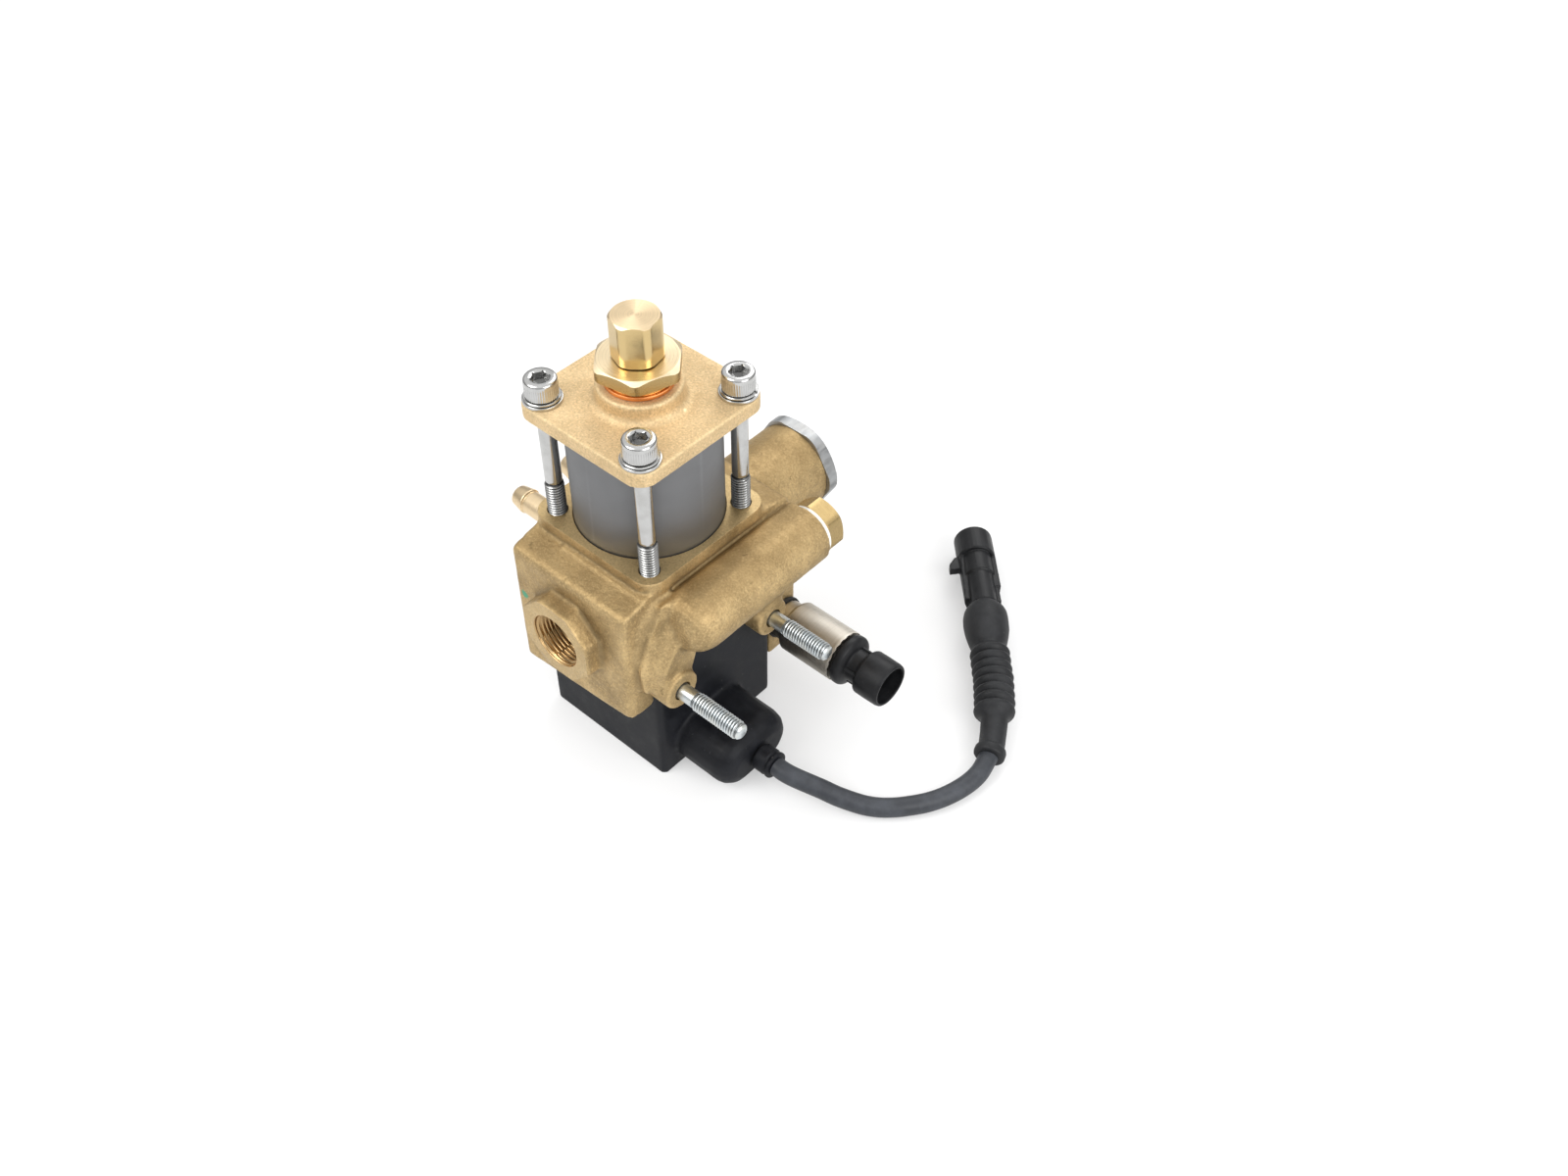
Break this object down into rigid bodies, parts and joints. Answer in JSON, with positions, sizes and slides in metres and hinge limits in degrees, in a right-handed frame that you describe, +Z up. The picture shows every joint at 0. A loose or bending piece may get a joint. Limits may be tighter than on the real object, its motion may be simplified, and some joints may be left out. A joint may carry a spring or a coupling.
{
  "type": "solenoid piston pressure regulator",
  "caption": "Spring-loaded piston pressure regulator in a cast brass body that straddles a solenoid shut-off coil, with a pressure sensor, hose barbs, mounting studs and a plug-in lead.",
  "frame": {"origin": "centre of the solenoid coil's flat underside, on the axis shared by coil, spring cylinder and adjusting screw", "axes": "+Z up along the main axis to the adjusting screw; -Y out of the threaded inlet port; +X towards the studs, the sensor and the lead"},
  "size_m": [0.1594, 0.1728, 0.1583],
  "materials": {
    "cast_brass": "sand-cast, matte",
    "turned_brass": "turned, satin",
    "copper": "soft copper, satin",
    "stainless": "polished stainless",
    "dark_steel": "drawn tube, satin",
    "zinc_steel": "blue zinc plate",
    "spring_steel": "oiled spring wire",
    "white_washer": "white coated",
    "black_plastic": "moulded, matte",
    "black_rubber": "moulded, matte",
    "grey_cable": "extruded jacket"
  },
  "bodies": {
    "valve": {"valve_body": "cast_brass", "top_plate": "cast_brass", "bonnet_nut": "turned_brass", "hose_barb_front": "turned_brass", "hose_barb_rear": "turned_brass", "branch_plug": "turned_brass", "connector_pin_1": "turned_brass", "connector_pin_2": "turned_brass", "sensor_pin_1": "turned_brass", "sensor_pin_2": "turned_brass", "sensor_pin_3": "turned_brass", "copper_seal_washer": "copper", "coil_winding": "copper", "cap_screw_1": "stainless", "cap_screw_2": "stainless", "cap_screw_3": "stainless", "cap_screw_4": "stainless", "lock_washer_1": "stainless", "lock_washer_2": "stainless", "lock_washer_3": "stainless", "lock_washer_4": "stainless", "flat_washer_1": "stainless", "flat_washer_2": "stainless", "flat_washer_3": "stainless", "flat_washer_4": "stainless", "valve_seat": "stainless", "armature_tube": "stainless", "filter_cap": "stainless", "sensor_body": "stainless", "spring_cylinder": "dark_steel", "fixed_core": "dark_steel", "mounting_stud_1": "zinc_steel", "mounting_stud_2": "zinc_steel", "coil_nut": "zinc_steel", "regulator_spring": "spring_steel", "plunger_spring": "spring_steel", "filter_element": "spring_steel", "plug_washer": "white_washer", "coil_housing": "black_plastic", "coil_end_cap": "black_plastic", "cable_gland": "black_plastic", "connector_housing": "black_plastic", "sensor_socket": "black_plastic", "cylinder_seal_lower": "black_rubber", "cylinder_seal_upper": "black_rubber", "filter_cap_seal": "black_rubber", "sensor_seal": "black_rubber", "cable_boot": "black_rubber", "coil_cable": "grey_cable"},
    "spring_seat": {"upper_spring_seat": "spring_steel"},
    "adjuster": {"adjusting_screw": "turned_brass", "adjusting_stem": "turned_brass"},
    "piston": {"regulator_piston": "turned_brass", "piston_seal": "black_rubber", "valve_poppet": "stainless"},
    "plunger": {"solenoid_plunger": "dark_steel"}
  },
  "joints": [
    {"name": "adjuster_advance", "type": "slide", "parent": "valve", "child": "spring_seat", "axis": [0, 0, 1], "range_m": [0, 0.003], "deforming": ["regulator_spring"]},
    {"name": "adjuster_turn", "type": "hinge", "parent": "spring_seat", "child": "adjuster", "pos_m": [0, 0, 0.15], "axis": [0, 0, 1], "range_deg": [0, 1080]},
    {"name": "piston_lift", "type": "slide", "parent": "valve", "child": "piston", "axis": [0, 0, 1], "range_m": [0, 0.0009], "stiffness_N_per_m": 8000, "springref_m": -0.004, "deforming": ["regulator_spring"]},
    {"name": "plunger_pull", "type": "slide", "parent": "valve", "child": "plunger", "axis": [0, 0, -1], "range_m": [0, 0.0025], "stiffness_N_per_m": 200, "springref_m": -0.01, "deforming": ["plunger_spring"]}
  ],
  "couplings": [
    {"joint": "adjuster_turn", "follows": "adjuster_advance", "rad_per_m": 6283.2}
  ]
}
